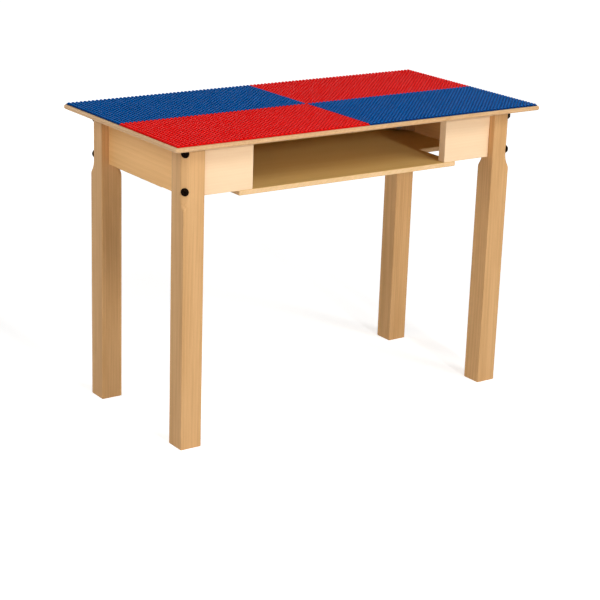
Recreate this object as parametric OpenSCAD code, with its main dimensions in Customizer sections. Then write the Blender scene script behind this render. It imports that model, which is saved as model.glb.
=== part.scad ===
// Child's play table: studded brick plates on a plywood top, four square bolted legs
// and an open storage shelf between two short front panels.
// Origin on the floor below the middle of the table, X to the right along the front,
// Y to the back, Z up. Millimetres.

/* [Brick plates] */
// Distance between the centres of neighbouring studs
stud_pitch = 8; // [7.5:0.1:9]
// Studs along the length of each plate
studs_long = 48; // [42:1:54]
// Studs along the depth of each plate
studs_deep = 24; // [23:1:30]
// Diameter of a stud
stud_d = 4.9; // [4:0.1:5.4]
// Height of a stud above its plate
stud_h = 1.7; // [1.2:0.1:2.4]
// Thickness of a plate below its studs
plate_t = 1.8; // [1.2:0.1:3.2]
// Radius of a plate's four corners
plate_corner_r = 2; // [0.5:0.25:4]
// Gap between neighbouring plates
plate_gap = 0.2; // [0.1:0.1:1]

/* [Tabletop] */
// Thickness of the plywood top
top_t = 8; // [7:0.5:18]
// Width of wood left bare around the plates
top_margin = 4; // [3:0.5:20]
// Radius of the top's corners seen from above
top_corner_r = 6; // [5:0.5:30]
// Radius of the rounding along the top's upper and lower edges
top_edge_r = 3; // [1:0.25:3.25]
// Distance by which the top stands out past the legs
top_overhang = 36; // [20:1:50]

/* [Legs] */
// Height of the legs, from the floor to the underside of the top
leg_h = 532; // [400:1:700]
// Side of the square leg
leg_w = 40.5; // [38:0.5:50]
// Rounding of the leg's long edges
leg_edge_r = 1.5; // [0.5:0.25:3]
// Setback of the corner chamfer along each face of the leg
leg_chamfer = 10; // [8:0.25:11]
// Length of the chamfer's straight part below the corner blocks
leg_chamfer_tail = 1; // [0:0.5:20]
// Radius of the cutter's curve where the chamfer runs out
leg_runout_r = 38; // [15:1:80]

/* [Aprons and front panels] */
// Height of the aprons and front panels
apron_h = 90; // [78:1:120]
// Thickness of the aprons and front panels
apron_t = 17.5; // [14:0.5:20]
// Setback of the aprons and front panels behind the legs' outer faces
apron_inset = 14; // [6:0.5:16]
// Width of the storage opening between the two front panels
opening_w = 416; // [300:2:440]

/* [Storage shelf] */
// Thickness of the shelf
shelf_t = 9; // [5:0.5:12]
// Length of shelf that is fastened below each front panel
shelf_overlap = 27; // [20:1:40]
// Distance by which the shelf's two front notches run back past the corner blocks
notch_reach = 45; // [10:0.5:60]
// Depth of shelf that is tucked in below each end apron
shelf_tuck = 2; // [0.5:0.5:6]
// Gap between the shelf's back corners and the legs
shelf_leg_gap = 0.5; // [0.2:0.1:3]

/* [Corner blocks and cleats] */
// Length of a corner block along each apron, from the leg's inner faces
block_run = 37; // [33:1:45]
// Gap between a corner block and the lower edge of the aprons
block_gap = 3; // [1:0.5:8]
// Side of the square cleats below the top
cleat_w = 16; // [12:0.5:20]
// Gap between a cleat and the corner block beside it
cleat_gap = 2; // [1:0.5:6]

/* [Leg bolts] */
// Diameter of the leg bolts
bolt_d = 8; // [6:0.5:8]
// Length of the leg bolts beyond their nuts
bolt_tail = 2; // [0.5:0.5:10]
// Diameter of a bolt's domed head
bolt_head_d = 14; // [12:0.5:16]
// Height of a bolt's domed head
bolt_head_h = 4.4; // [3.5:0.1:6]
// Size across the flats of the six-sided socket in a bolt's head
bolt_socket = 5; // [3:0.5:6]
// Distance of the upper bolt below the leg's top
bolt_drop = 13; // [9:0.5:14]
// Distance of the lower bolt above the corner block's underside
bolt_rise = 10; // [9:0.5:14]
// Radial clearance of a bolt in the wood, the washer and the nut
bolt_clearance = 0.25; // [0.1:0.05:0.5]
// Diameter of a washer
washer_d = 16; // [14:0.5:20]
// Thickness of a washer
washer_t = 1.6; // [1:0.1:2]
// Size across the flats of a nut
nut_flats = 13; // [11:0.5:15]
// Thickness of a nut
nut_t = 6.5; // [5:0.5:7]

/* [Wood screws] */
// Diameter of a wood screw's shank
screw_d = 4; // [3:0.25:4.5]
// Diameter of a wood screw's flat head
screw_head_d = 8; // [7:0.25:9]
// Length of a wood screw's point
screw_point = 4; // [3:0.25:5]
// Depth of the screws in the aprons and front panels
apron_bite = 12; // [8:0.5:13]
// Depth of the screws in the top
top_bite = 6; // [4:0.5:6.5]
// Depth of the shelf screws in the edges above them
shelf_bite = 18; // [12:1:25]
// Distance of the block screws from the legs' inner faces
block_screw_run = 21; // [17:0.5:25]
// Depth of block that a block screw's head clamps
block_screw_seat = 10; // [8:0.5:12]
// Height of each pair of block screws above the middle of the block and below it
block_screw_lift = 13; // [10:1:16]
// Distance of the apron screws from the ends of a cleat
cleat_screw_end = 15; // [12:0.5:18]
// Distance of the top screws from the ends of a long cleat
top_screw_end = 31; // [28:1:40]

/* [Hidden] */

// Smoothness of the round shapes
round_fn = 48;
stud_fn = 24;
// Radial clearance of a screw in its hole
screw_clearance = 0.05;
// Length by which a cutting shape runs past the face that it cuts
cut = 1;

wood_leg = [0.87, 0.69, 0.47];
wood_apron = [0.80, 0.63, 0.42];
wood_panel = [0.99, 0.86, 0.70];
wood_top = [0.88, 0.71, 0.52];
wood_shelf = [0.93, 0.78, 0.58];
wood_block = [0.76, 0.60, 0.40];
plastic_red = [0.88, 0.13, 0.12];
plastic_blue = [0.06, 0.29, 0.58];
steel_black = [0.12, 0.10, 0.09];
steel_bright = [0.72, 0.72, 0.70];

// The four corners of the table, as signs of X and Y
LEFT = -1;
RIGHT = 1;
FRONT = -1;
BACK = 1;
sides = [LEFT, RIGHT];
rows = [FRONT, BACK];

// Top and frame in plan
plate_l = studs_long * stud_pitch;
plate_w = studs_deep * stud_pitch;
top_l = 2 * (plate_l + top_margin);
top_w = 2 * (plate_w + top_margin);
frame_l = top_l - 2 * top_overhang;
frame_w = top_w - 2 * top_overhang;
leg_x = frame_l / 2 - leg_w / 2;
leg_y = frame_w / 2 - leg_w / 2;
apron_x = frame_l / 2 - apron_inset;
apron_y = frame_w / 2 - apron_inset;
inner_x = apron_x - apron_t;
inner_y = apron_y - apron_t;
leg_inner_x = frame_l / 2 - leg_w;
leg_inner_y = frame_w / 2 - leg_w;
block_leg = inner_x - leg_inner_x + block_run;
block_screw_at = inner_x - leg_inner_x + block_screw_run;
mid_apron_y = apron_y - apron_t / 2;

// Heights
top_z = leg_h + top_t;
apron_z = leg_h - apron_h;
shelf_z = apron_z - shelf_t;
block_z = apron_z + block_gap;
block_h = leg_h - block_z;
leg_chamfer_len = block_h + leg_chamfer_tail;

// Measures along a leg's diagonal, from the leg's axis
half_diagonal = leg_w / sqrt(2);
chamfer_at = half_diagonal - leg_chamfer / sqrt(2);
apron_corner_at = (leg_x - inner_x) * sqrt(2);
block_reach = block_leg / sqrt(2);
block_back_at = apron_corner_at + block_reach;
bolt_l = chamfer_at + block_back_at + washer_t + nut_t + bolt_tail;

// Levels of the two bolts and of the two pairs of block screws
bolt_levels = [block_z + bolt_rise, leg_h - bolt_drop];
block_mid_z = block_z + block_h / 2;
block_screw_levels = [block_mid_z - block_screw_lift, block_mid_z + block_screw_lift];

// Cleats and their screws
long_cleat_l = 2 * (inner_x - block_leg - cleat_gap);
end_cleat_l = 2 * (inner_y - block_leg - cleat_gap);
front_cleat_l = (long_cleat_l - opening_w) / 2 - cleat_gap;
front_cleat_x = (long_cleat_l / 2 + opening_w / 2 + cleat_gap) / 2;
cleat_mid_z = leg_h - cleat_w / 2;
cleat_x = inner_x - cleat_w;
cleat_y = inner_y - cleat_w;

// Lengths of the screws
block_screw_l = block_screw_seat + apron_bite;
cleat_screw_l = cleat_w + apron_bite;
top_screw_l = cleat_w + top_bite;
shelf_screw_l = shelf_t + shelf_bite;

// Turns that point a screw's tip along X, along Y or up
function along_x(side) = [0, 90 * side, 0];
function along_y(row) = [-90 * row, 0, 0];
upward = [0, 0, 0];

// count stations along a length, the outer ones at end from its ends
function stations(count, length, end) =
    [for (i = [0 : count - 1]) -length / 2 + end + i * (length - 2 * end) / (count - 1)];

// Places are pairs of a position and a turn
bolt_places = [
    for (side = sides, row = rows, z = bolt_levels)
        [[side * leg_x, row * leg_y, z], [0, 90, atan2(row, side)]]
];
block_screw_places = [
    for (side = sides, row = rows, z = block_screw_levels, end = [true, false])
        end
            ? [[side * (inner_x - block_screw_seat), row * (inner_y - block_screw_at), z], along_x(side)]
            : [[side * (inner_x - block_screw_at), row * (inner_y - block_screw_seat), z], along_y(row)]
];
cleat_screw_places = concat(
    [for (side = sides, y = stations(2, end_cleat_l, cleat_screw_end))
        [[side * cleat_x, y, cleat_mid_z], along_x(side)]],
    [for (x = stations(3, long_cleat_l, cleat_screw_end))
        [[x, cleat_y, cleat_mid_z], along_y(BACK)]],
    [for (side = sides, x = stations(2, front_cleat_l, cleat_screw_end))
        [[side * front_cleat_x + x, -cleat_y, cleat_mid_z], along_y(FRONT)]]
);
top_screw_places = concat(
    [for (side = sides, y = stations(2, end_cleat_l, top_screw_end))
        [[side * (inner_x - cleat_w / 2), y, leg_h - cleat_w], upward]],
    [for (x = stations(4, long_cleat_l, top_screw_end))
        [[x, inner_y - cleat_w / 2, leg_h - cleat_w], upward]],
    [for (side = sides)
        [[side * front_cleat_x, -(inner_y - cleat_w / 2), leg_h - cleat_w], upward]]
);
shelf_front_l = opening_w + 2 * shelf_overlap;
shelf_screw_places = concat(
    [for (side = sides)
        [[side * (opening_w + shelf_overlap) / 2, -mid_apron_y, shelf_z], upward]],
    [for (x = stations(4, shelf_front_l, shelf_overlap / 2))
        [[x, mid_apron_y, shelf_z], upward]]
);

// Puts its children at each place
module at_each(places) {
    for (place = places)
        translate(place[0])
            rotate(place[1])
                children();
}

// Puts its children on a leg's axis, with X pointing out along the leg's diagonal
module at_leg(side, row) {
    translate([side * leg_x, row * leg_y, 0])
        rotate([0, 0, atan2(row, side)])
            children();
}

// Rectangle with rounded corners, centred on the origin
module rounded_rectangle(length, width, radius) {
    square([length - 2 * radius, width], center = true);
    square([length, width - 2 * radius], center = true);
    for (side = sides, row = rows)
        translate([side * (length / 2 - radius), row * (width / 2 - radius)])
            circle(r = radius, $fn = round_fn);
}

// Flat-headed wood screw along +Z, its head's face at z = 0
module wood_screw(length, shank_r, head_r) {
    sink = head_r - shank_r;
    difference() {
        union() {
            cylinder(r1 = head_r, r2 = shank_r, h = sink, $fn = stud_fn);
            translate([0, 0, sink])
                cylinder(r = shank_r, h = length - screw_point - sink, $fn = stud_fn);
            translate([0, 0, length - screw_point])
                cylinder(r1 = shank_r, r2 = shank_r / 4, h = screw_point, $fn = stud_fn);
        }
        translate([0, 0, -cut])
            cylinder(r = shank_r * 0.8, h = sink * 0.7 + cut, $fn = 4);
    }
}

module screws(places, length) {
    at_each(places)
        wood_screw(length, screw_d / 2, screw_head_d / 2);
}

// Hole for a wood screw: a sunk cone and a bore as deep as the screw
module screw_holes(places, length) {
    bore_r = screw_d / 2 + screw_clearance;
    sink_r = screw_head_d / 2 + screw_clearance;
    at_each(places) {
        cylinder(r1 = sink_r, r2 = bore_r, h = sink_r - bore_r, $fn = stud_fn);
        cylinder(r = bore_r, h = length + screw_clearance, $fn = stud_fn);
    }
}

// Upright board centred on a place, its underside at z
module board(x, y, z, size) {
    translate([x - size[0] / 2, y - size[1] / 2, z])
        cube(size);
}

// Section through the top's edge: square at x = 0, rounded where it ends at the corner radius
module top_edge_section() {
    intersection() {
        square([top_corner_r, top_t]);
        translate([-top_corner_r, top_t / 2])
            rounded_rectangle(4 * top_corner_r, top_t, top_edge_r);
    }
}

// Length of edge that stands out along X from a line through the origin, centred on it
module top_edge(length) {
    rotate([90, 0, 0])
        linear_extrude(height = length, center = true)
            top_edge_section();
}

module tabletop() {
    straight_l = top_l - 2 * top_corner_r;
    straight_w = top_w - 2 * top_corner_r;
    color(wood_top)
        difference() {
            translate([0, 0, leg_h])
                union() {
                    board(0, 0, 0, [straight_l, straight_w, top_t]);
                    for (side = sides)
                        translate([side * straight_l / 2, 0, 0])
                            rotate([0, 0, 90 - 90 * side])
                                top_edge(straight_w);
                    for (row = rows)
                        translate([0, row * straight_w / 2, 0])
                            rotate([0, 0, 90 * row])
                                top_edge(straight_l);
                    for (side = sides, row = rows)
                        translate([side * straight_l / 2, row * straight_w / 2, 0])
                            rotate([0, 0, atan2(row, side) - 45])
                                rotate_extrude(angle = 90, $fn = round_fn)
                                    top_edge_section();
                }
            screw_holes(top_screw_places, top_screw_l);
        }
}

// One moulded plate with its grid of studs, in one quarter of the top
module brick_plate(side, row, tint) {
    color(tint)
        translate([side * plate_l / 2, row * plate_w / 2, top_z])
            union() {
                linear_extrude(height = plate_t)
                    rounded_rectangle(plate_l - plate_gap, plate_w - plate_gap, plate_corner_r);
                for (i = [0 : studs_long - 1], j = [0 : studs_deep - 1])
                    translate([(i + 0.5) * stud_pitch - plate_l / 2,
                               (j + 0.5) * stud_pitch - plate_w / 2,
                               plate_t])
                        cylinder(d = stud_d, h = stud_h, $fn = stud_fn);
            }
}

// Flat cut across a leg's corner that runs out in a curve at its lower end
module corner_cut() {
    straight_z = leg_h - leg_chamfer_len;
    translate([chamfer_at, -leg_w, straight_z])
        cube([leg_w, 2 * leg_w, leg_chamfer_len + cut]);
    translate([chamfer_at + leg_runout_r, 0, straight_z])
        rotate([90, 0, 0])
            cylinder(r = leg_runout_r, h = 2 * leg_w, center = true, $fn = 4 * round_fn);
}

module bolt_holes() {
    at_each(bolt_places)
        translate([0, 0, -bolt_l])
            cylinder(r = bolt_d / 2 + bolt_clearance, h = 2 * bolt_l, $fn = round_fn);
}

module leg(side, row) {
    color(wood_leg)
        difference() {
            at_leg(side, row)
                difference() {
                    rotate([0, 0, 45])
                        linear_extrude(height = leg_h)
                            rounded_rectangle(leg_w, leg_w, leg_edge_r);
                    corner_cut();
                    rotate([0, 0, 180])
                        corner_cut();
                }
            bolt_holes();
        }
}

module end_apron(side) {
    color(wood_apron)
        difference() {
            board(side * (apron_x - apron_t / 2), 0, apron_z, [apron_t, 2 * leg_inner_y, apron_h]);
            screw_holes(block_screw_places, block_screw_l);
            screw_holes(cleat_screw_places, cleat_screw_l);
        }
}

module back_apron() {
    color(wood_apron)
        difference() {
            board(0, mid_apron_y, apron_z, [2 * leg_inner_x, apron_t, apron_h]);
            screw_holes(block_screw_places, block_screw_l);
            screw_holes(cleat_screw_places, cleat_screw_l);
            screw_holes(shelf_screw_places, shelf_screw_l);
        }
}

module front_panel(side) {
    panel_l = leg_inner_x - opening_w / 2;
    color(wood_panel)
        difference() {
            board(side * (opening_w / 2 + panel_l / 2), -mid_apron_y, apron_z, [panel_l, apron_t, apron_h]);
            screw_holes(block_screw_places, block_screw_l);
            screw_holes(cleat_screw_places, cleat_screw_l);
            screw_holes(shelf_screw_places, shelf_screw_l);
        }
}

// Board below the panels and the aprons, with a notch at each front corner and its back corners
// cut out round the legs
module storage_shelf() {
    notch_y = inner_y - block_leg - notch_reach;
    end_x = inner_x + shelf_tuck;
    between_legs_x = leg_inner_x - shelf_leg_gap;
    between_legs_y = leg_inner_y - shelf_leg_gap;
    color(wood_shelf)
        difference() {
            translate([0, 0, shelf_z])
                linear_extrude(height = shelf_t) {
                    translate([-shelf_front_l / 2, -apron_y])
                        square([shelf_front_l, apron_y]);
                    translate([-end_x, -notch_y])
                        square([2 * end_x, notch_y + between_legs_y]);
                    translate([-between_legs_x, 0])
                        square([2 * between_legs_x, apron_y]);
                }
            screw_holes(shelf_screw_places, shelf_screw_l);
        }
}

// Block across the corner of two aprons, flat against the leg's inner chamfer
module corner_block(side, row) {
    front_half = chamfer_at - apron_corner_at;
    color(wood_block)
        difference() {
            at_leg(side, row)
                translate([0, 0, block_z])
                    linear_extrude(height = block_h)
                        polygon([[-chamfer_at, -front_half], [-chamfer_at, front_half],
                                 [-block_back_at, block_reach], [-block_back_at, -block_reach]]);
            bolt_holes();
            screw_holes(block_screw_places, block_screw_l);
            at_each(block_screw_places)
                translate([0, 0, -block_leg])
                    cylinder(r = screw_head_d / 2 + screw_clearance, h = block_leg, $fn = stud_fn);
        }
}

module top_cleat(x, y, size) {
    color(wood_block)
        difference() {
            board(x, y, leg_h - cleat_w, [size[0], size[1], cleat_w]);
            screw_holes(cleat_screw_places, cleat_screw_l);
            screw_holes(top_screw_places, top_screw_l);
        }
}

module end_cleat(side) {
    top_cleat(side * (inner_x - cleat_w / 2), 0, [cleat_w, end_cleat_l]);
}

module front_cleat(side) {
    top_cleat(side * front_cleat_x, -(inner_y - cleat_w / 2), [front_cleat_l, cleat_w]);
}

module back_cleat() {
    top_cleat(0, inner_y - cleat_w / 2, [long_cleat_l, cleat_w]);
}

// Domed head with a six-sided socket on a plain shank, head outwards
module leg_bolts() {
    rim_h = 0.6;
    dome_h = bolt_head_h - rim_h;
    dome_r = (pow(bolt_head_d / 2, 2) + pow(dome_h, 2)) / (2 * dome_h);
    color(steel_black)
        at_each(bolt_places)
            translate([0, 0, chamfer_at])
                difference() {
                    union() {
                        translate([0, 0, -bolt_l])
                            cylinder(d = bolt_d, h = bolt_l, $fn = round_fn);
                        intersection() {
                            cylinder(d = bolt_head_d, h = bolt_head_h, $fn = round_fn);
                            translate([0, 0, bolt_head_h - dome_r])
                                sphere(r = dome_r, $fn = round_fn);
                        }
                    }
                    translate([0, 0, bolt_head_h * 0.45])
                        cylinder(d = bolt_socket / cos(30), h = bolt_head_h, $fn = 6);
                }
}

module leg_bolt_washers() {
    color(steel_bright)
        at_each(bolt_places)
            translate([0, 0, -block_back_at - washer_t])
                difference() {
                    cylinder(d = washer_d, h = washer_t, $fn = round_fn);
                    translate([0, 0, -cut])
                        cylinder(r = bolt_d / 2 + bolt_clearance, h = washer_t + 2 * cut, $fn = round_fn);
                }
}

module leg_bolt_nuts() {
    color(steel_bright)
        at_each(bolt_places)
            translate([0, 0, -block_back_at - washer_t - nut_t])
                difference() {
                    cylinder(d = nut_flats / cos(30), h = nut_t, $fn = 6);
                    translate([0, 0, -cut])
                        cylinder(r = bolt_d / 2 + bolt_clearance, h = nut_t + 2 * cut, $fn = round_fn);
                }
}

module block_screws() {
    color(steel_bright)
        screws(block_screw_places, block_screw_l);
}

module cleat_screws() {
    color(steel_bright)
        screws(cleat_screw_places, cleat_screw_l);
}

module top_screws() {
    color(steel_bright)
        screws(top_screw_places, top_screw_l);
}

module shelf_screws() {
    color(steel_bright)
        screws(shelf_screw_places, shelf_screw_l);
}

tabletop();
brick_plate(LEFT, FRONT, plastic_red);  // brick_plate_front_left
brick_plate(RIGHT, FRONT, plastic_blue);  // brick_plate_front_right
brick_plate(LEFT, BACK, plastic_blue);  // brick_plate_back_left
brick_plate(RIGHT, BACK, plastic_red);  // brick_plate_back_right
leg(LEFT, FRONT);  // leg_front_left
leg(RIGHT, FRONT);  // leg_front_right
leg(LEFT, BACK);  // leg_back_left
leg(RIGHT, BACK);  // leg_back_right
end_apron(LEFT);  // end_apron_left
end_apron(RIGHT);  // end_apron_right
back_apron();
front_panel(LEFT);  // front_panel_left
front_panel(RIGHT);  // front_panel_right
storage_shelf();
corner_block(LEFT, FRONT);  // corner_block_front_left
corner_block(RIGHT, FRONT);  // corner_block_front_right
corner_block(LEFT, BACK);  // corner_block_back_left
corner_block(RIGHT, BACK);  // corner_block_back_right
end_cleat(LEFT);  // top_cleat_left
end_cleat(RIGHT);  // top_cleat_right
back_cleat();  // top_cleat_back
front_cleat(LEFT);  // top_cleat_front_left
front_cleat(RIGHT);  // top_cleat_front_right
leg_bolts();
leg_bolt_washers();
leg_bolt_nuts();
block_screws();
cleat_screws();
top_screws();
shelf_screws();
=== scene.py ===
"""Child's play table with a studded top and an open storage shelf, dressed over its CAD frame.

Metres, in the CAD frame: X to the right along the front, Y to the back, Z up.
"""

from math import atan2, cos, pi, radians, sin, sqrt

import bpy
import numpy as np
from mathutils import Matrix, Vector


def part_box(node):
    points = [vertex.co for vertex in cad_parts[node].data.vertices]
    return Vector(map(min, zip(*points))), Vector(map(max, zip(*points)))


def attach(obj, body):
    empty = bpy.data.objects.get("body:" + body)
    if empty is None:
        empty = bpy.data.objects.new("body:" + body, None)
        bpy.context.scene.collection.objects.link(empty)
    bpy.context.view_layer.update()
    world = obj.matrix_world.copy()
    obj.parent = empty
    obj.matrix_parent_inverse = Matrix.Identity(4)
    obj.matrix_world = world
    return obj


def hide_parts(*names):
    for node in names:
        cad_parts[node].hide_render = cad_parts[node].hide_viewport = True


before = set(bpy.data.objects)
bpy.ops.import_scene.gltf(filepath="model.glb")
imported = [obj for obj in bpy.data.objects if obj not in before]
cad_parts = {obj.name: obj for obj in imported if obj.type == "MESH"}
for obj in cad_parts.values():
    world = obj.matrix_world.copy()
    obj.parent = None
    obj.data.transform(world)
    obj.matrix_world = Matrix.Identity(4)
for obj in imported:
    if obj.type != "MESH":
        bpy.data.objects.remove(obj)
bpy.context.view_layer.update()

MM = 0.001
X, Y, Z = 0, 1, 2
SIDES = {"left": -1, "right": 1}
ROWS = {"front": -1, "back": 1}
CORNERS = [(row, side) for row in ROWS for side in SIDES]

# ---------------------------------------------------------------- sizes of the wooden pieces
BOARD_EDGE = 0.8 * MM        # sanded rounding of a board's edges
BOARD_CORNER = 1.0 * MM      # rounding of a board's upright corners
TOP_EDGE = 3 * MM            # the same two on the tabletop
TOP_CORNER = 6 * MM
SHELF_EDGE = 1.6 * MM        # and on the shelf
SHELF_CORNER = 2.5 * MM
NOTCH_CORNER = 3 * MM        # rounding of the shelf's inward corners
SHELF_OVERLAP = 27 * MM      # shelf below each front panel
SHELF_LEG_GAP = 0.5 * MM     # between the shelf's back corners and the legs
NOTCH_REACH = 45 * MM        # shelf's front notches past the corner blocks
PLY_VENEERS = 5
LEG_EDGE = 1.5 * MM          # rounding of a leg's upright edges
FOOT_EDGE = 1.2 * MM         # rounding round a leg's foot
LEG_SETBACK = 10 * MM        # a leg's corner chamfer, along each face
CHAMFER_LENGTH = 88 * MM     # from a leg's top down to the end of the straight cut
RUNOUT_RADIUS = 38 * MM      # cutter's circle, on which the cut runs out

# ---------------------------------------------------------------- sizes of the plates' studs
STUD_PITCH = 8 * MM
STUD_RADIUS = 2.45 * MM
STUD_HEIGHT = 1.7 * MM
STUD_RIM = 0.22 * MM         # bevel round a stud's top
STUD_POINTS = 16             # points on each of a stud's three rings
PLATE_CORNER = 2 * MM
PLATE_RIM = 0.3 * MM         # bevel along a plate's upper edge

# ---------------------------------------------------------------- sizes of the steel pieces
BOLT_RADIUS = 4 * MM
BOLT_TAIL = 2 * MM           # bolt past its nut
BOLT_POINT = 2.4 * MM        # radius of the flat at a bolt's end
HEAD_RADIUS = 7 * MM
HEAD_HEIGHT = 4.4 * MM
HEAD_RIM = 0.6 * MM          # upright wall below a head's dome
DOME_ROWS = 9
SOCKET_FLATS = 5 * MM
SOCKET_DEPTH = 2.4 * MM
SOCKET_RIM = 0.35 * MM       # bevel round the socket's mouth
THREAD_START = 1.2 * MM      # from a bolt's end
THREAD_PITCH = 1.25 * MM
THREAD_DEPTH = 0.55 * MM
THREAD_ROWS = 12             # crests and roots together
NUT_FLATS = 13 * MM
NUT_HEIGHT = 6.5 * MM
WASHER_RADIUS = 8 * MM
WASHER_HEIGHT = 1.6 * MM
SCREW_RADIUS = 2 * MM
SCREW_HEAD_RADIUS = 4 * MM
SCREW_POINT = 4 * MM         # length of a screw's point
SCREW_DRIVE = 3.2 * MM       # across the flats of a screw's square drive
SCREW_DRIVE_DEPTH = 2.4 * MM
SCREW_PROUD = 0.15 * MM      # a shelf screw's head below the shelf
SHELF_BACK_SCREWS = 4
BREAK = 0.2 * MM             # turned pieces' small bevels
ROUND = 1.0                  # across the flats where a row is a plain circle

# ---------------------------------------------------------------- gloss, where 0.5 is a plain varnish's
WOOD_GLOSS = 0.12            # satin lacquer
PLASTIC_GLOSS = 0.01         # the plates lie nearly edge on to the view, where gloss veils their colour
STEEL_GLOSS = 0.003          # black oxide, whose rims would otherwise mirror the white around them


# ================================================================ shader maths

def shade(red, green, blue):
    """A colour given as it shows on a screen, 0 to 255, as the linear values that a shader takes."""
    seen = np.array([red, green, blue]) / 255
    linear = np.where(seen <= 0.04045, seen / 12.92, ((seen + 0.055) / 1.055) ** 2.4)
    return (*linear.tolist(), 1.0)


class Signal:
    """One output of a shader node. Arithmetic on it adds Math nodes."""

    def __init__(self, finish, socket):
        self.finish, self.socket = finish, socket

    def __add__(self, other):
        return self.finish.maths("ADD", self, other)

    def __sub__(self, other):
        return self.finish.maths("SUBTRACT", self, other)

    def __rsub__(self, other):
        return self.finish.maths("SUBTRACT", other, self)

    def __mul__(self, other):
        return self.finish.maths("MULTIPLY", self, other)

    def __truediv__(self, other):
        return self.finish.maths("DIVIDE", self, other)

    def __pow__(self, other):
        return self.finish.maths("POWER", self, other)

    def __gt__(self, other):
        return self.finish.maths("GREATER_THAN", self, other)

    def __abs__(self):
        return self.finish.maths("ABSOLUTE", self)

    __radd__, __rmul__ = __add__, __mul__

    def floor(self):
        return self.finish.maths("FLOOR", self)

    def fraction(self):
        return self.finish.maths("FRACT", self)

    def larger(self, other):
        return self.finish.maths("MAXIMUM", self, other)

    def above(self, low, high):
        """0 below low and 1 above high, with a smooth rise between them."""
        settings = {"interpolation_type": "SMOOTHSTEP"}
        return self.finish.node("MapRange", settings, (self, low, high, 0.0, 1.0))


class Finish:
    """The nodes of a new material or world. node() adds one of any type and gives one output as a Signal."""

    def __init__(self, owner):
        owner.use_nodes = True
        self.owner, self.tree = owner, owner.node_tree
        self.tree.nodes.clear()

    def node(self, kind, settings=(), sockets=(), output=0):
        """Sets the node's settings first, then the values or links of its sockets, by name or by place."""
        node = self.tree.nodes.new("ShaderNode" + kind)
        for key, value in dict(settings).items():
            setattr(node, key, value)
        for key, value in sockets.items() if isinstance(sockets, dict) else enumerate(sockets):
            if isinstance(value, Signal):
                self.tree.links.new(value.socket, node.inputs[key])
            else:
                node.inputs[key].default_value = value
        return Signal(self, node.outputs[output]) if len(node.outputs) else None

    def maths(self, operation, *values):
        return self.node("Math", {"operation": operation}, values)

    def vector(self, operation, *values, output=0):
        return self.node("VectorMath", {"operation": operation}, values, output)

    def mix(self, share, first, second):
        """A colour: the first where share is 0, and the second where it is 1."""
        return self.node("Mix", {"data_type": "RGBA"}, {0: share, 6: first, 7: second}, 2)

    def noise(self, where, scale, detail, output=0):
        return self.node("TexNoise", {}, {"Vector": where, "Scale": scale, "Detail": detail}, output)

    def bump(self, height, strength, distance):
        return self.node("Bump", {}, {"Strength": strength, "Distance": distance, "Height": height})

    def place(self):
        return self.node("TexCoord", output="Object")

    def level(self, where):
        return self.node("SeparateXYZ", {}, [where], "Z")

    def end(self, shader, kind="OutputMaterial"):
        """Gives the shader to the output node, which ends the tree."""
        self.node(kind, {}, {"Surface": shader})
        return self.owner

    def close(self, **sockets):
        """Ends the material with one Principled shader."""
        named = {key.replace("_", " "): value for key, value in sockets.items()}
        return self.end(self.node("BsdfPrincipled", {}, named))


# ================================================================ wood

RING_BEND = 30 * MM          # how far slow noise bends the growth rings
RING_POWER = 2.5             # a ring's darkness is the fraction grown, 0 to 1, to this power
RING_MEAN = 0.28             # and that on the average
WOOD_NOISE = {               # share to which the length along the grain shrinks, scale per metre, octaves
    "bend": (0.1, 9.0, 2.0),
    "cloud": (0.1, 35.0, 2.0),
    "bands": (0.015, 190.0, 2.0),
    "fibres": (0.02, 900.0, 3.0),
    "flecks": (0.15, 1500.0, 1.0),
}
VENEER_RING = 9 * MM         # growth rings' spacing in the veneers
VENEER_PITHS = {             # by the axis of the grain, with the height from the board's lower face
    X: (0.1, 0.05, -0.35),
    Y: (0.3, 0.1, -0.3),
}


def on_axis(axis, along, across):
    """A vector with one value along an axis and another along the two others."""
    return tuple(along if other == axis else across for other in (X, Y, Z))


def grown(finish, where, grain, pith, ring, contrast):
    """How dark solid timber is at a point, about 0 on the average, and its fibres alone.

    The growth rings are shells round a pith that runs along the grain. Their distance from it, bent by slow
    noise, counts the rings, and each ring darkens slowly and ends sharply. Noise drawn out along the grain
    gives the bands, the fibres and the short flecks, and broad noise the cloudy change of tone.
    """
    def drawn(kind, output=0):
        """A noise drawn out along the grain, because the place along it is shrunk to a share."""
        share, scale, octaves = WOOD_NOISE[kind]
        shrunk = finish.vector("MULTIPLY", where, on_axis(grain, share, 1.0))
        return finish.noise(shrunk, scale, octaves, output)

    bend = finish.vector("SUBTRACT", drawn("bend", "Color"), (0.5, 0.5, 0.5))
    bent = finish.vector("MULTIPLY_ADD", bend, (RING_BEND, RING_BEND, RING_BEND), where)
    from_pith = finish.vector("SUBTRACT", bent, pith)
    level_with_pith = finish.vector("MULTIPLY", from_pith, on_axis(grain, 0.0, 1.0))
    radius = finish.vector("LENGTH", level_with_pith, output="Value")
    late = (radius / ring).fraction() ** RING_POWER
    fibres = drawn("fibres")
    streaks = 0.8 * (fibres - 0.5) + 0.6 * (drawn("bands") - 0.5) + 0.25 * drawn("flecks").above(0.62, 0.74)
    return contrast * (0.3 * (late - RING_MEAN) + streaks + (drawn("cloud") - 0.5)), fibres


def faces_along(finish, axis):
    """1 where the surface faces along an axis, either way, and 0 where it runs along that axis."""
    normal = finish.node("NewGeometry", output="Normal")
    facing = finish.vector("DOT_PRODUCT", normal, on_axis(axis, 1.0, 0.0), output="Value")
    return abs(facing).above(0.55, 0.9)


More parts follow.
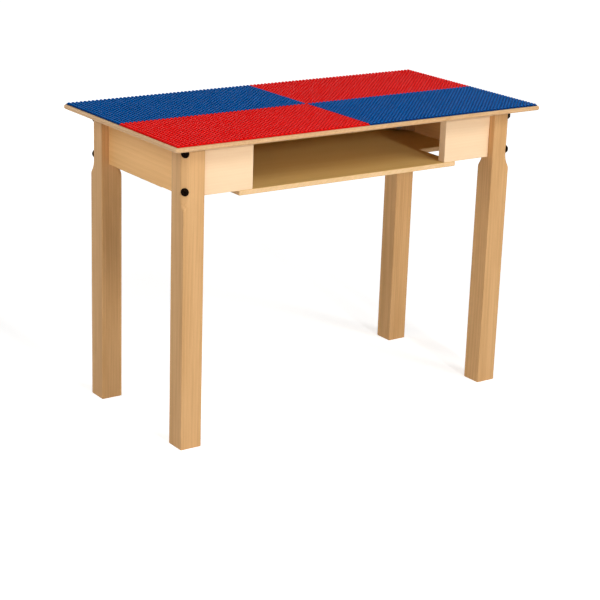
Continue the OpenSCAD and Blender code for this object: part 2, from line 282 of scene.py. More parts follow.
def lacquered(finish, colour, fibres, relief, depth):
    """Ends a wood with its satin lacquer, which is a little rougher over the fibres."""
    return finish.close(Base_Color=colour, Roughness=0.46 + 0.14 * (fibres - 0.5),
                        Normal=finish.bump(relief, 0.2, depth), Specular_IOR_Level=WOOD_GLOSS)


def solid_wood(name, grain, pith, pale, dark, end, ring=5.0 * MM, contrast=1.0):
    """Lacquered solid timber. Its ends, where the cut fibres soak up lacquer, take their own colour."""
    finish = Finish(bpy.data.materials.new(name))
    tone, fibres = grown(finish, finish.place(), grain, pith, ring, contrast)
    face = finish.mix(tone.above(-0.5, 0.5), shade(*pale), shade(*dark))
    colour = finish.mix(0.8 * faces_along(finish, grain), face, shade(*end))
    return lacquered(finish, colour, fibres, fibres, 0.05 * MM)


def plywood(name, node, pale, dark, core, end, contrast):
    """Lacquered plywood for a level board: the height in the board says which veneer is cut.

    Veneers with even numbers have their grain along X, the others along Y. The two level faces have their
    own tone, and the edges and the core have another. A glue line shows between two veneers, and where a
    veneer is cut across its grain it takes the end's colour in specks.
    """
    low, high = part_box(node)
    finish = Finish(bpy.data.materials.new(name))
    where = finish.place()
    ripple = 0.1 * (finish.noise(where, 120.0, 1.0) - 0.5)
    step = (finish.level(where) - low.z) / ((high.z - low.z) / PLY_VENEERS) + ripple
    crossed = (step.floor() / 2.0).fraction() > 0.25
    inside = (step > 1.0) * (1.0 - (step > PLY_VENEERS - 1.0))
    (long_tone, fibres), (cross_tone, cross_fibres) = (
        grown(finish, where, grain, (pith[X], pith[Y], low.z + pith[Z]), VENEER_RING, contrast)
        for grain, pith in VENEER_PITHS.items())
    face = finish.mix(long_tone.above(-0.5, 0.5), shade(*pale), shade(*dark))
    inner = finish.mix(cross_tone.above(-0.5, 0.5), shade(*core), shade(*dark))
    wood = finish.mix(inside.larger(1.0 - faces_along(finish, Z)), face, inner)
    cut = faces_along(finish, X) * (1.0 - crossed) + faces_along(finish, Y) * crossed
    specks = finish.noise(where, 1600.0, 2.0).above(0.35, 0.7)
    cut_wood = finish.mix(0.5 * cut * (0.4 + 0.8 * specks), wood, shade(*end))
    between = (step > 0.5) * (1.0 - (step > PLY_VENEERS - 0.5))
    glue = abs(step.fraction() - 0.5).above(0.44, 0.49) * between
    colour = finish.mix(0.4 * glue, cut_wood, shade(*end))
    return lacquered(finish, colour, fibres, fibres + cross_fibres, 0.04 * MM)


# ================================================================ plastic and steel

# Heights of the plates' foot and deck, which bound their painted shadow and painted shade
PLATE_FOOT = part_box("tabletop")[1].z
PLATE_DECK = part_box("brick_plate_front_left")[1].z - STUD_HEIGHT


def moulded_plastic(name, stud, deck, foot):
    """Moulded plastic: very slow waves in the surface, a little handling haze and fine grain.

    The height picks the tone: full on the studs, and deep on the deck between them as painted shade.
    Along the plate's foot it is darkest, a painted shadow as of a thin gap where the plate meets the wood.
    """
    finish = Finish(bpy.data.materials.new(name))
    where = finish.place()
    height = finish.level(where)
    # Painted shade: the deck between the studs takes the deeper deck colour, and the studs the full one
    raised = height.above(PLATE_DECK + 0.2 * MM, PLATE_DECK + STUD_HEIGHT - 0.2 * MM)
    clouded = raised - 0.15 * finish.noise(where, 22.0, 3.0).above(0.3, 0.8)
    studs_over_deck_shade = finish.mix(clouded, shade(*deck), shade(*stud))
    # Painted shadow: the lowest part of the plate's sides takes the dark foot colour, as in the shade of a
    # thin gap below it
    above_foot_shadow = height.above(PLATE_FOOT + 0.3 * MM, PLATE_FOOT + 1.1 * MM)
    tint = finish.mix(above_foot_shadow, shade(*foot), studs_over_deck_shade)
    haze = finish.noise(where, 240.0, 3.0) - 0.5
    ripple = finish.noise(where, 90.0, 2.0) + 0.05 * finish.noise(where, 2500.0, 1.0)
    return finish.close(Base_Color=tint, Roughness=0.36 + 0.16 * haze,
                        Normal=finish.bump(ripple, 0.12, 0.25 * MM), Specular_IOR_Level=PLASTIC_GLOSS)


def blackened_steel(name):
    """Black oxide on steel: nearly black, with the brown of bare metal on the worn spots."""
    finish = Finish(bpy.data.materials.new(name))
    worn = finish.noise(finish.place(), 700.0, 3.0)
    tint = finish.mix(worn.above(0.55, 0.8), shade(20, 13, 8), shade(66, 44, 28))
    return finish.close(Base_Color=tint, Roughness=0.28 + 0.25 * (worn - 0.4),
                        Normal=finish.bump(worn, 0.2, 0.05 * MM), Specular_IOR_Level=STEEL_GLOSS)


def zinc_plate(name):
    """Bright zinc on steel, with its faint cloudy yellow and blue."""
    finish = Finish(bpy.data.materials.new(name))
    where = finish.place()
    cloud = finish.noise(where, 260.0, 3.0)
    tint = finish.mix(cloud.above(0.35, 0.7), shade(140, 134, 120), shade(110, 110, 108))
    grain = finish.bump(finish.noise(where, 3000.0, 2.0), 0.15, 0.02 * MM)
    return finish.close(Base_Color=tint, Roughness=0.45 + 0.2 * cloud, Metallic=1.0, Normal=grain)


BEECH = {"pale": (206, 160, 110), "dark": (166, 116, 70), "end": (156, 108, 64), "ring": 3.0 * MM}
FINISHES = {
    "tabletop": plywood("tabletop_birch_ply", "tabletop", pale=(241, 206, 161), dark=(208, 162, 112),
                        core=(232, 193, 148), end=(196, 148, 102), contrast=0.8),
    "shelf": plywood("shelf_birch_ply", "storage_shelf", pale=(228, 195, 126), dark=(216, 179, 108),
                     core=(252, 215, 176), end=(240, 200, 158), contrast=0.35),
    "leg": solid_wood("leg_maple", Z, pith=(0.11, 0.05, 0.0), pale=(222, 176, 123), dark=(201, 154, 101),
                      end=(176, 122, 74)),
    "panel": solid_wood("front_panel_maple", X, pith=(0.0, -0.31, 0.2), pale=(251, 222, 184),
                        dark=(245, 210, 169), end=(251, 222, 184), contrast=0.5),
    "rail_along": solid_wood("back_apron_maple", X, pith=(0.0, 0.3, 0.2), pale=(246, 212, 130),
                             dark=(234, 194, 112), end=(172, 120, 74), contrast=0.6),
    "rail_across": solid_wood("end_apron_maple", Y, pith=(0.12, 0.0, 0.2), pale=(249, 198, 134),
                              dark=(231, 178, 114), end=(172, 120, 74), contrast=0.6),
    "block": solid_wood("corner_block_beech", Z, pith=(0.07, 0.04, 0.0), **BEECH),
    "cleat_along": solid_wood("long_cleat_beech", X, pith=(0.0, 0.06, 0.47), **BEECH),
    "cleat_across": solid_wood("end_cleat_beech", Y, pith=(0.27, 0.0, 0.47), **BEECH),
    # A plate's deck colour is painted shade between its studs, and its foot colour painted shadow along its
    # foot
    "red": moulded_plastic("red_plate_plastic", stud=(255, 38, 36), deck=(222, 12, 10), foot=(170, 16, 12)),
    "blue": moulded_plastic("blue_plate_plastic", stud=(0, 106, 192), deck=(0, 56, 118), foot=(8, 36, 64)),
    "black": blackened_steel("black_oxide_steel"),
    "zinc": zinc_plate("zinc_plated_steel"),
}


# ================================================================ making pieces

def piece(name, points, faces, finish, node, normals=None):
    """A finished mesh that rides on the table and stands for its CAD node.

    With normals, every point is shaded by its own. Without them, faces that meet at more than 30 degrees
    keep a hard edge between them.
    """
    mesh = bpy.data.meshes.new(name)
    mesh.from_pydata(points.tolist(), [], faces)
    mesh.materials.append(FINISHES[finish])
    mesh.shade_smooth()
    if normals is None:
        mesh.set_sharp_from_angle(angle=radians(30))
    else:
        mesh.normals_split_custom_set_from_vertices(normals.tolist())
    made = bpy.data.objects.new(name, mesh)
    bpy.context.scene.collection.objects.link(made)
    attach(made, "root")
    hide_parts(node)


def tube_faces(rings, count):
    """Four-sided faces between rings of count points each, numbered ring after ring."""
    ring, at = np.meshgrid(np.arange(rings - 1), np.arange(count), indexing="ij")
    after = (at + 1) % count
    quads = np.stack([ring * count + at, ring * count + after, (ring + 1) * count + after,
                      (ring + 1) * count + at], axis=-1)
    return quads.reshape(-1, 4)


def closed_tube(rings, count):
    """The faces of a tube of rings with a flat face at both ends."""
    last = (rings - 1) * count + np.arange(count)
    return tube_faces(rings, count).tolist() + [np.arange(count)[::-1].tolist(), last.tolist()]


def spread(values, shape):
    """One value for each ring, given to all its points as their last coordinate."""
    return np.broadcast_to(values[:, None, None], (*shape, 1))


def rounded_outline(corners, radii, steps=6):
    """Outline of a polygon with its corners rounded, anticlockwise, and the outward direction at each point.

    On a corner, the direction turns evenly from one side's to the next side's. The point lies one radius
    from the arc's centre in that direction, or against it where the corner points inwards.
    """
    corners = np.asarray(corners, float)
    radii = np.broadcast_to(radii, len(corners))[:, None]
    along = np.roll(corners, -1, axis=0) - corners
    along /= np.linalg.norm(along, axis=1, keepdims=True)
    after = np.stack([along[:, 1], -along[:, 0]], axis=1)
    before = np.roll(after, 1, axis=0)
    turn = np.arctan2(before[:, 0] * after[:, 1] - before[:, 1] * after[:, 0], (before * after).sum(1))
    bulge = np.sign(turn)[:, None]
    centre = corners - bulge * radii * (before + after) / (1 + (before * after).sum(1, keepdims=True))
    angle = np.arctan2(before[:, 1], before[:, 0])[:, None] + turn[:, None] * np.linspace(0, 1, steps + 1)
    outward = np.stack([np.cos(angle), np.sin(angle)], axis=-1)
    points = centre[:, None] + (bulge * radii)[:, None] * outward
    return points.reshape(-1, 2), outward.reshape(-1, 2)


def rectangle(low, high):
    """The plan of a box, anticlockwise."""
    return [(low[X], low[Y]), (high[X], low[Y]), (high[X], high[Y]), (low[X], high[Y])]


def slab(node, outline, edge, finish, steps=6):
    """A board in its CAD node's place: an outline carried up, with rounded upper and lower edges.

    A ring at the angle a, from straight down to straight up, is the outline drawn in by edge × (1 - cos a)
    and raised by edge × sin a from the middle of its rounding. The direction there is cos a outwards and
    sin a up.
    """
    low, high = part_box(node)
    points, outward = outline
    half = np.linspace(-pi / 2, 0, steps + 1)
    angle = np.concatenate([half, half + pi / 2])
    middle = np.repeat([low.z + edge, high.z - edge], steps + 1)
    flat = points[None] - edge * (1 - np.cos(angle))[:, None, None] * outward[None]
    rings = np.concatenate([flat, spread(middle + edge * np.sin(angle), flat.shape[:2])], axis=2)
    tilted = np.cos(angle)[:, None, None] * outward[None]
    normals = np.concatenate([tilted, spread(np.sin(angle), flat.shape[:2])], axis=2)
    piece(node + "_board", rings.reshape(-1, 3), closed_tube(len(angle), len(points)), finish,
          node, normals.reshape(-1, 3))


# ================================================================ wooden pieces

def board(node, finish):
    """A straight board with sanded edges."""
    slab(node, rounded_outline(rectangle(*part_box(node)), BOARD_CORNER), BOARD_EDGE, finish)


def tabletop():
    """The plywood top, with its wider roundings."""
    outline = rounded_outline(rectangle(*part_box("tabletop")), TOP_CORNER, 10)
    slab("tabletop", outline, TOP_EDGE, "tabletop", 8)


def storage_shelf():
    """The shelf board: notched at its front corners, and cut out round the legs at the back."""
    front_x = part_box("front_panel_right")[0].x + SHELF_OVERLAP
    tongue_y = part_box("corner_block_back_right")[0].y - NOTCH_REACH
    leg_low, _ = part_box("leg_back_right")
    back_x, back_y = leg_low.x - SHELF_LEG_GAP, leg_low.y - SHELF_LEG_GAP
    _, (end_x, deep_y, _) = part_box("storage_shelf")
    right = [(front_x, -deep_y), (front_x, -tongue_y), (end_x, -tongue_y), (end_x, back_y), (back_x, back_y),
             (back_x, deep_y)]
    corners = right + [(-x, y) for x, y in right[::-1]]
    inward = {(front_x, -tongue_y), (back_x, back_y)}
    radii = [NOTCH_CORNER if (abs(x), y) in inward else SHELF_CORNER for x, y in corners]
    slab("storage_shelf", rounded_outline(corners, radii), SHELF_EDGE, "shelf")


POST_BARE = 50 * MM          # at both ends of a leg's plain stretch, without rings
RUNOUT_REACH = 26 * MM       # stretch below the straight cut over which a leg's rings crowd
CUT_START = 8 * MM           # from there up to the first ring on the straight cut
CROWD = radians(3)           # columns crowd this far on the chamfer's side of its edge, and twice it beyond
COLUMN_STEPS = (3, 4, 6, 5)  # across the chamfer, up to its edge, past its edge, and over the plain face


def leg_levels(low, high):
    """Heights of a leg's rings, close together round the foot and where the cut runs out."""
    cut_end = high - CHAMFER_LENGTH
    foot = low + FOOT_EDGE * (1 - np.cos(np.linspace(0, pi / 2, 5)))
    post = np.linspace(low + POST_BARE, cut_end - POST_BARE, 8)
    runout = cut_end - RUNOUT_REACH * np.linspace(1, 0, 14) ** 1.5
    return np.concatenate([foot, post, runout, np.linspace(cut_end + CUT_START, high, 8)])


def chamfer_depth(height, half, top):
    """Distance of the chamfer's plane from a leg's axis at each height, and its slope.

    The plane stands upright down to the end of the cut, then curves out on the cutter's circle, until it is
    past the leg's corner.
    """
    straight = (2 * half - LEG_SETBACK) / sqrt(2)
    below = np.clip(top - CHAMFER_LENGTH - height, 0, 0.9 * RUNOUT_RADIUS)
    reach = np.sqrt(RUNOUT_RADIUS ** 2 - below ** 2)
    return straight + RUNOUT_RADIUS - reach, below / reach


def corner_columns(depth, half):
    """Angles from a corner's diagonal to the middles of its two faces, for each ring.

    A chamfer at a depth meets a face at pi / 4 - atan((depth × sqrt 2 - half) / half) from the diagonal.
    The angles crowd on both sides of it.
    """
    meeting = pi / 4 - np.arctan2(np.clip(depth * sqrt(2) - half, 0, half), half)
    stops = [np.zeros_like(meeting), meeting - np.minimum(CROWD, meeting), meeting, meeting + 2 * CROWD,
             np.full_like(meeting, pi / 4)]
    stretches = [first[:, None] + np.linspace(0, 1, steps, endpoint=False) * (last - first)[:, None]
                 for first, last, steps in zip(stops, stops[1:], COLUMN_STEPS)]
    half_turn = np.concatenate([*stretches, stops[-1][:, None]], axis=1)
    return np.concatenate([-half_turn[:, :0:-1], half_turn[:, :-1]], axis=1)


def soft_post(ray, planes, half, softness):
    """Distance from the axis to a post with soft edges along each ray, and the direction there.

    The distance is a soft minimum of the distances to the planes: half - ln(sum of weights) / k, where a
    plane's weight is exp(-k × (its distance - half)). The direction is the mean of the planes' directions,
    each by its weight. A plane has a level direction, a distance from the axis and a slope for each ring.
    """
    weights, directions = [], []
    for facing, distance, slope in planes:
        level = np.array([cos(facing), sin(facing)])
        reach = distance[:, None] / np.clip(ray @ level, 1e-3, None)
        weights.append(np.exp(-softness * (reach - half))[..., None])
        tilted = np.concatenate([np.broadcast_to(level, ray.shape), spread(slope, ray.shape[:2])], axis=-1)
        directions.append(tilted / np.sqrt(1 + slope ** 2)[:, None, None])
    total = sum(weights)
    mean = sum(weight * direction for weight, direction in zip(weights, directions)) / total
    return half - np.log(total) / softness, mean


def leg(row, side):
    """A square leg with soft edges and its corner cut off above, outside and inside.

    It is a soft post of four faces and two chamfers, as soft as draws an upright edge in by as much as its
    rounding would. At the foot the rings are drawn in on a quarter circle, and the directions tip down
    with it.
    """
    node = f"leg_{row}_{side}"
    low, high = (np.array(corner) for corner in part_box(node))
    centre, half = (low + high)[:2] / 2, (high[X] - low[X]) / 2
    height = leg_levels(low[Z], high[Z])
    chamfer, slope = chamfer_depth(height, half, high[Z])
    uncut = np.full_like(height, 2 * half * sqrt(2))
    upright_plane = np.full_like(height, half), np.zeros_like(height)
    outer = atan2(ROWS[row], SIDES[side])
    quarters = outer + np.arange(4) * pi / 2
    angle = np.concatenate([quarter + corner_columns(depth, half)
                            for quarter, depth in zip(quarters, (chamfer, uncut, chamfer, uncut))], axis=1)
    ray = np.stack([np.cos(angle), np.sin(angle)], axis=-1)
    planes = [(quarter + pi / 4, *upright_plane) for quarter in quarters]
    planes += [(outer, chamfer, slope), (outer + pi, chamfer, slope)]
    radius, normals = soft_post(ray, planes, half, np.log(2) / (LEG_EDGE * (sqrt(2) - 1)))

    into_foot = np.clip(low[Z] + FOOT_EDGE - height, 0, FOOT_EDGE)
    draw_in = (FOOT_EDGE - np.sqrt(FOOT_EDGE ** 2 - into_foot ** 2))[:, None, None]
    tip_down = (into_foot / FOOT_EDGE)[:, None, None]
    normals = normals * np.sqrt(1 - tip_down ** 2) - np.array([0, 0, 1]) * tip_down
    normals /= np.linalg.norm(normals, axis=-1, keepdims=True)
    rings = np.concatenate([centre + (radius - draw_in) * ray, spread(height, angle.shape)], axis=-1)
    piece(node + "_post", rings.reshape(-1, 3), closed_tube(*angle.shape), "leg", node,
          normals.reshape(-1, 3))


# ================================================================ studded plates

QUARTER = STUD_POINTS // 4   # points of a stud's ring that face one corner of its cell
ARC_STEPS = 4                # on a plate's rounded corner


def cell_places(middle, across):
    """The cells' boundary lines and middles along one axis, an even pitch apart."""
    lines = middle + (np.arange(across + 1) - across / 2) * STUD_PITCH
    return lines, (lines[1:] + lines[:-1]) / 2


def plan(along_x, along_y):
    """All pairs of two lists of places, the second list's changing first."""
    return np.stack(np.meshgrid(along_x, along_y, indexing="ij"), axis=-1).reshape(-1, 2)


def at_height(flat, height):
    """Points of a plan, all at one height."""
    return np.column_stack([flat, np.full(len(flat), height)])


def stud_rings(middles, deck, top):
    """Three rings of points on each stud, at equal angles: at its foot, below its bevel and round its top."""
    turn = pi / 4 + np.arange(STUD_POINTS) * 2 * pi / STUD_POINTS
    radius = np.array([STUD_RADIUS, STUD_RADIUS, STUD_RADIUS - STUD_RIM])[:, None, None]
    height = np.array([deck, top - STUD_RIM, top])[:, None, None]
    ring = middles[:, None, None] + radius * np.stack([np.cos(turn), np.sin(turn)], axis=-1)
    return np.concatenate([ring, np.broadcast_to(height, (*ring.shape[:3], 1))], axis=-1).reshape(-1, 3)


def stud_faces(foot):
    """The walls, bevels and tops of the studs, from the numbers of the points on their feet."""
    step = np.arange(STUD_POINTS)
    after = (step + 1) % STUD_POINTS
    faces = []
    for lift in (0, STUD_POINTS):
        base = foot[:, :1] + lift
        walls = [base + step, base + after, base + STUD_POINTS + after, base + STUD_POINTS + step]
        faces += np.stack(walls, axis=-1).reshape(-1, 4).tolist()
    return faces + (foot + 2 * STUD_POINTS).tolist()


def deck_fans(corner, foot):
    """Triangles of the deck, by cell: each of its corners is joined to the ring's points near it.

    On each of the cell's sides, one more triangle joins its two corners and the point halfway between them.
    """
    fans = []
    for q in range(4):
        ends = corner[:, q], corner[:, (q + 1) % 4]
        spoke = [foot[:, (q * QUARTER + step) % STUD_POINTS] for step in range(QUARTER + 1)]
        fans.append([ends[0], spoke[QUARTER // 2], ends[1]])
        fans += [[ends[step * 2 // QUARTER], spoke[step + 1], spoke[step]] for step in range(QUARTER)]
    return np.stack([np.stack(fan, axis=1) for fan in fans], axis=1)


def brick_plate(row, side, tint):
    """A plate and its studs as one closed surface.

    The deck is a grid of square cells with a stud in each. The plate's own edge is the rounded outline,
    drawn in at the top by the rim's bevel and carried down to the foot. The grid's four tips lie outside
    that outline, so the tip cells are single faces that take in the outline's arcs.
    """
    node = f"brick_plate_{row}_{side}"
    low, high = (np.array(corner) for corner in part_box(node))
    deck = high[Z] - STUD_HEIGHT
    across = np.round((high - low)[:2] / STUD_PITCH).astype(int)
    (lines_x, middles_x), (lines_y, middles_y) = (
        cell_places((low[axis] + high[axis]) / 2, across[axis]) for axis in (X, Y))
    grid = np.clip(plan(lines_x, lines_y), low[:2] + PLATE_RIM, high[:2] - PLATE_RIM)
    studs = stud_rings(plan(middles_x, middles_y), deck, high[Z])

    grid_at = np.arange(len(grid)).reshape(across + 1)
    corner = np.stack([grid_at[1:, 1:], grid_at[:-1, 1:], grid_at[:-1, :-1], grid_at[1:, :-1]], axis=-1)
    foot_at = len(grid) + np.arange(len(studs)).reshape(*across, 3, STUD_POINTS)[:, :, 0]
    foot = foot_at.reshape(-1, STUD_POINTS)
    fans = deck_fans(corner.reshape(-1, 4), foot)
    tips = grid_at[[0, -1, -1, 0], [0, 0, -1, -1]]
    faces = fans[~np.isin(fans, tips).any(axis=2)].tolist() + stud_faces(foot)

    outline, outward = rounded_outline(rectangle(low, high), PLATE_CORNER, ARC_STEPS)
    arcs = len(grid) + len(studs) + np.arange(len(outline)).reshape(4, ARC_STEPS + 1)
    edges = [grid_at[1:-1, 0], grid_at[-1, 1:-1], grid_at[-2:0:-1, -1], grid_at[0, -2:0:-1]]
    edge_outward = np.array([(0, -1), (1, 0), (0, 1), (-1, 0)], float)
    for q, tip in enumerate([(0, 0), (-1, 0), (-1, -1), (0, -1)]):
        spokes = foot_at[tip][[(((q + 2) % 4) * QUARTER + step) % STUD_POINTS
                               for step in range(QUARTER // 2, -QUARTER // 2 - 1, -1)]]
        faces.append([corner[tip][(q + 1) % 4], *arcs[q], corner[tip][(q + 3) % 4], *spokes])

    above = np.concatenate([at_height(grid, deck), studs, at_height(outline - PLATE_RIM * outward, deck)])
    loop = np.concatenate([part for pair in zip(arcs, edges) for part in pair])
    arc_outward = outward.reshape(4, ARC_STEPS + 1, 2)
    loop_outward = np.concatenate([part for q in range(4) for part in (
        arc_outward[q], np.broadcast_to(edge_outward[q], (len(edges[q]), 2)))])
    wall = above[loop, :2] + PLATE_RIM * loop_outward
    upper = len(above) + np.arange(len(loop))
    lower = upper + len(loop)
    for first, second in ((upper, loop), (lower, upper)):
        faces += np.stack([first, np.roll(first, -1), np.roll(second, -1), second], axis=1).tolist()
    faces.append(lower[::-1].tolist())

    points = np.concatenate([above, at_height(wall, deck - PLATE_RIM), at_height(wall, low[Z])])
    used = ~np.isin(np.arange(len(points)), tips)
    number = np.cumsum(used) - 1
    faces = [number[face].tolist() for face in faces]
    piece(node + "_moulding", points[used], faces, tint, node)


# ================================================================ turned steel pieces

def turned(node, rows, places, finish, sides=6, columns=48):
    """Copies of a turned piece with flats, one at each place, in their CAD node's stead.

    A row is (height, round radius, distance across the flats). Its ring is a circle cut off by a regular
    polygon: at each angle the radius is the smaller of the circle's and half the flats divided by the
    cosine of the angle from the nearest flat's middle. A place is an origin and three directions, the last
    along the piece.
    """
    rows = np.array(rows, float)
    angle = np.arange(columns) * 2 * pi / columns
    wedge = 2 * pi / sides
    from_flat = (angle + wedge / 2) % wedge - wedge / 2
    radius = np.minimum(rows[:, 1:2], rows[:, 2:3] / 2 / np.cos(from_flat))
    height = np.broadcast_to(rows[:, :1], radius.shape)
    shape = np.stack([radius * np.cos(angle), radius * np.sin(angle), height], axis=-1).reshape(-1, 3)
    origins, turns = (np.array(part) for part in zip(*places))
    points = origins[:, None] + np.einsum("pv,nvw->npw", shape, turns)
    first = len(shape) * np.arange(len(places))[:, None]
    cap = np.arange(columns)
    faces = (first[..., None] + tube_faces(len(rows), columns)).reshape(-1, 4).tolist()
    faces += (first + cap[::-1]).tolist() + (first + (len(rows) - 1) * columns + cap).tolist()
    piece(node + "_steel", points.reshape(-1, 3), faces, finish, node)


def upright(direction):
    """Three directions at right angles, the last along direction and the first level."""
    along = np.asarray(direction, float) / np.linalg.norm(direction)
    level = np.cross((0, 0, 1), along)
    level = level / np.linalg.norm(level) if np.linalg.norm(level) > 0.1 else np.array([1.0, 0, 0])
    return np.stack([level, np.cross(along, level), along])


def bolt_places(depth):
    """The eight bolts: out along each leg's diagonal at two levels, a depth from the leg's axis."""
    low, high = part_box("leg_bolts")
    places = []
    for row, side in CORNERS:
        leg_low, leg_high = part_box(f"leg_{row}_{side}")
        turns = upright((SIDES[side], ROWS[row], 0))
        for level in (low.z + HEAD_RADIUS, high.z - HEAD_RADIUS):
            axis = np.array([(leg_low.x + leg_high.x) / 2, (leg_low.y + leg_high.y) / 2, level])
            places.append((axis + depth * turns[2], turns))
    return places


def across_corners(flats):
    """Half the distance across a hexagon's corners."""
    return flats / 2 / cos(pi / 6)


def bolts():
    """The leg bolts with their domed heads, and the washers and nuts behind the corner blocks.

    A head's dome is part of a ball of radius (r² + h²) / 2h, for a dome of height h on a head of radius r.
    The thread is rows that are crests and roots by turns, half a pitch apart.
    """
    leg_low, leg_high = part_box("leg_back_right")
    block_low, block_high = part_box("corner_block_back_right")
    leg_middle = (leg_low + leg_high) / 2
    seat = (leg_high.x - leg_low.x - LEG_SETBACK) / sqrt(2)
    block_back = -(leg_middle.x - block_low.x + leg_middle.y - block_high.y) / sqrt(2)
    washer_back = block_back - WASHER_HEIGHT
    nut_back = washer_back - NUT_HEIGHT
    end = nut_back - BOLT_TAIL - seat

    dome_height = HEAD_HEIGHT - HEAD_RIM
    dome_radius = (HEAD_RADIUS ** 2 + dome_height ** 2) / (2 * dome_height)
    mouth = across_corners(SOCKET_FLATS)
    thread = [(end + THREAD_START + turn * THREAD_PITCH / 2, BOLT_RADIUS - (turn % 2) * THREAD_DEPTH, ROUND)
              for turn in range(THREAD_ROWS)]
    shank = [(end, BOLT_POINT, ROUND), (end, BOLT_RADIUS - THREAD_DEPTH, ROUND), *thread,
             (thread[-1][0] + THREAD_PITCH, BOLT_RADIUS, ROUND), (0, BOLT_RADIUS, ROUND)]
    dome = [(HEAD_HEIGHT - dome_radius + sqrt(dome_radius ** 2 - radius ** 2), radius, ROUND)
            for radius in np.linspace(HEAD_RADIUS, mouth + SOCKET_RIM, DOME_ROWS)]
    head = [(0, HEAD_RADIUS - BREAK, ROUND), (BREAK, HEAD_RADIUS, ROUND), *dome]
    socket = [(HEAD_HEIGHT - SOCKET_RIM, mouth, SOCKET_FLATS),
              (HEAD_HEIGHT - SOCKET_DEPTH, mouth, SOCKET_FLATS),
              (HEAD_HEIGHT - SOCKET_DEPTH - 2 * BREAK, 0.4 * mouth, ROUND)]
    turned("leg_bolts", shank + head + socket, bolt_places(seat), "black")

    washer = [(0, WASHER_RADIUS - BREAK, ROUND), (BREAK, WASHER_RADIUS, ROUND),
              (WASHER_HEIGHT - BREAK, WASHER_RADIUS, ROUND), (WASHER_HEIGHT, WASHER_RADIUS - BREAK, ROUND)]
    turned("leg_bolt_washers", washer, bolt_places(washer_back), "zinc")
    corner = across_corners(NUT_FLATS)
    bevel = 0.6 * (corner - NUT_FLATS / 2)
    nut = [(0, NUT_FLATS / 2, NUT_FLATS), (bevel, corner, NUT_FLATS),
           (NUT_HEIGHT - bevel, corner, NUT_FLATS), (NUT_HEIGHT, NUT_FLATS / 2, NUT_FLATS)]
    turned("leg_bolt_nuts", nut, bolt_places(nut_back), "zinc")


def shelf_screws():
    """Flat-headed screws with a square drive, up through the shelf, their heads a trace below it."""
    low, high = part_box("shelf_screws")
    length = high.z - low.z
    end_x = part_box("front_panel_right")[0].x + SHELF_OVERLAP / 2
    front = [(x, low.y + SCREW_HEAD_RADIUS) for x in (-end_x, end_x)]
    back = [(x, high.y - SCREW_HEAD_RADIUS) for x in np.linspace(-end_x, end_x, SHELF_BACK_SCREWS)]
    places = [(np.array([x, y, low.z - SCREW_PROUD]), upright((0, 0, 1))) for x, y in front + back]
    rows = [(SCREW_DRIVE_DEPTH, ROUND, 0.8 * SCREW_DRIVE), (0, ROUND, SCREW_DRIVE),
            (0, SCREW_HEAD_RADIUS - BREAK, ROUND), (BREAK, SCREW_HEAD_RADIUS, ROUND),
            (SCREW_HEAD_RADIUS - SCREW_RADIUS, SCREW_RADIUS, ROUND),
            (length - SCREW_POINT, SCREW_RADIUS, ROUND), (length, BREAK, ROUND)]
    turned("shelf_screws", rows, places, "zinc", sides=4, columns=32)


# ================================================================ build

tabletop()
storage_shelf()
for row_name, side_name in CORNERS:
    leg(row_name, side_name)
for side_name in SIDES:
    board(f"end_apron_{side_name}", "rail_across")
    board(f"front_panel_{side_name}", "panel")
board("back_apron", "rail_along")
for row_name, side_name in CORNERS:
    brick_plate(row_name, side_name, "red" if (row_name == "front") == (side_name == "left") else "blue")
bolts()
shelf_screws()

# The CAD nodes that are seen as they are, by the start of their names
KEPT_FINISHES = {
    "corner_block": "block", "top_cleat_left": "cleat_across", "top_cleat_right": "cleat_across",
    "top_cleat": "cleat_along", "block_screws": "zinc", "cleat_screws": "zinc", "top_screws": "zinc",
}
for node_name, node_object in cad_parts.items():
    start = next((key for key in KEPT_FINISHES if node_name.startswith(key)), None)
    if start:
        node_object.data.materials[0] = FINISHES[KEPT_FINISHES[start]]

# ================================================================ floor, light and camera

FLOOR_SIZE = 80.0
FLOOR_ALBEDO = 0.8
FLOOR_GLOW, FAR_GLOW = 0.66, 0.97    # near the table, where the lamps add to it, and far from it
NEAR, FAR = 0.8, 2.4         # distances from the table between which the floor's glow rises
SKY_LIGHT = 0.06
LAMP_AIM = np.array([0.0, 0.0, 0.35])
LAMPS = {                    # direction from the table, distance, diameter, light on a surface that faces it
    "key_lamp": ((-0.33, -3.40, 1.18), 3.6, 0.3, 0.36),
    "high_lamp": ((0.30, -0.75, 0.59), 3.4, 1.2, 0.36),
    "left_lamp": ((-0.80, -0.10, 0.55), 3.0, 1.4, 0.27),
    "side_lamp": ((-0.75, -0.65, 0.12), 3.0, 1.2, 0.12),
    "back_lamp": ((-0.28, 0.95, 0.18), 3.4, 1.2, 0.30),
}


def placed(origin, directions):
    """The matrix of an object at an origin, with its three axes along the directions."""
    return Matrix.Translation(origin) @ Matrix(np.transpose(directions).tolist()).to_4x4()


def seen_ray(finish):
    """1 for the rays that show the floor or the sky: straight, in a gloss or through glass."""
    camera_ray, glossy_ray, glass_ray = (
        finish.node("LightPath", output=f"Is {kind} Ray") for kind in ("Camera", "Glossy", "Transmission"))
    return camera_ray.larger(glossy_ray).larger(glass_ray)


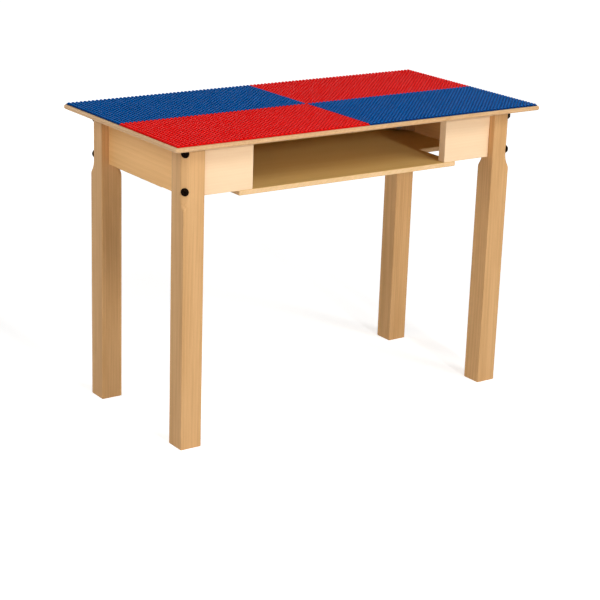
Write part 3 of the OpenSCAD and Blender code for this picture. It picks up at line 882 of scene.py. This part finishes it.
def floor():
    """A wide pale floor that keeps the table's shadow and glows up to white where it is seen."""
    far = FLOOR_SIZE / 2
    mesh = bpy.data.meshes.new("floor")
    mesh.from_pydata([(-far, -far, 0), (far, -far, 0), (far, far, 0), (-far, far, 0)], [], [(0, 1, 2, 3)])
    finish = Finish(bpy.data.materials.new("pale_floor"))
    matt = finish.node("BsdfDiffuse", {}, {"Color": (FLOOR_ALBEDO, FLOOR_ALBEDO, FLOOR_ALBEDO, 1.0)})
    away = finish.vector("LENGTH", finish.place(), output="Value").above(NEAR, FAR)
    strength = (FLOOR_GLOW + (FAR_GLOW - FLOOR_GLOW) * away) * seen_ray(finish)
    glow = finish.node("Emission", {}, {"Strength": strength})
    mesh.materials.append(finish.end(finish.node("AddShader", {}, [matt, glow])))
    made = bpy.data.objects.new("floor", mesh)
    bpy.context.scene.collection.objects.link(made)


def sky():
    """A faint light from all round, white where it is seen."""
    finish = Finish(bpy.data.worlds.new("studio"))
    strength = SKY_LIGHT + (1.0 - SKY_LIGHT) * seen_ray(finish)
    background = finish.node("Background", {}, {"Color": (1.0, 1.0, 1.0, 1.0), "Strength": strength})
    bpy.context.scene.world = finish.end(background, "OutputWorld")


def lamps():
    """Five soft round lamps.

    A lamp's power in watts is pi² × distance² × the brightness that it gives to a white surface facing it.
    """
    for name, (direction, distance, size, brightness) in LAMPS.items():
        lamp = bpy.data.lights.new(name, "AREA")
        lamp.shape, lamp.size, lamp.energy = "DISK", size, pi ** 2 * distance ** 2 * brightness
        turns = upright(direction)
        holder = bpy.data.objects.new(name, lamp)
        holder.matrix_world = placed(LAMP_AIM + distance * turns[2], turns)
        bpy.context.scene.collection.objects.link(holder)


# The camera that was fitted to the photograph
CAMERA_AT = (-1.77119, -2.50647, 1.16352)
HEADING, PITCH, ROLL = radians(-35.255), radians(-17.926), radians(1.931)
FOCAL_PIXELS, FRAME_PIXELS = 1727.89, 600
SENSOR_WIDTH = 36.0          # millimetres, as the lens is
CLIP_NEAR, CLIP_FAR = 0.05, 200.0


def camera():
    """The photograph's view: the sight line's heading and fall, then a small roll about it."""
    sight = np.array([-sin(HEADING) * cos(PITCH), cos(HEADING) * cos(PITCH), sin(PITCH)])
    level = np.array([cos(HEADING), sin(HEADING), 0.0])
    over = np.cross(level, sight)
    right = cos(ROLL) * level + sin(ROLL) * over
    up = cos(ROLL) * over - sin(ROLL) * level
    data = bpy.data.cameras.new("photo_camera")
    data.sensor_width, data.lens = SENSOR_WIDTH, SENSOR_WIDTH * FOCAL_PIXELS / FRAME_PIXELS
    data.clip_start, data.clip_end = CLIP_NEAR, CLIP_FAR
    made = bpy.data.objects.new("photo_camera", data)
    made.matrix_world = placed(CAMERA_AT, (right, up, -sight))
    bpy.context.scene.collection.objects.link(made)
    bpy.context.scene.camera = made


floor()
sky()
lamps()
camera()
bpy.context.scene.view_settings.view_transform = "Standard"
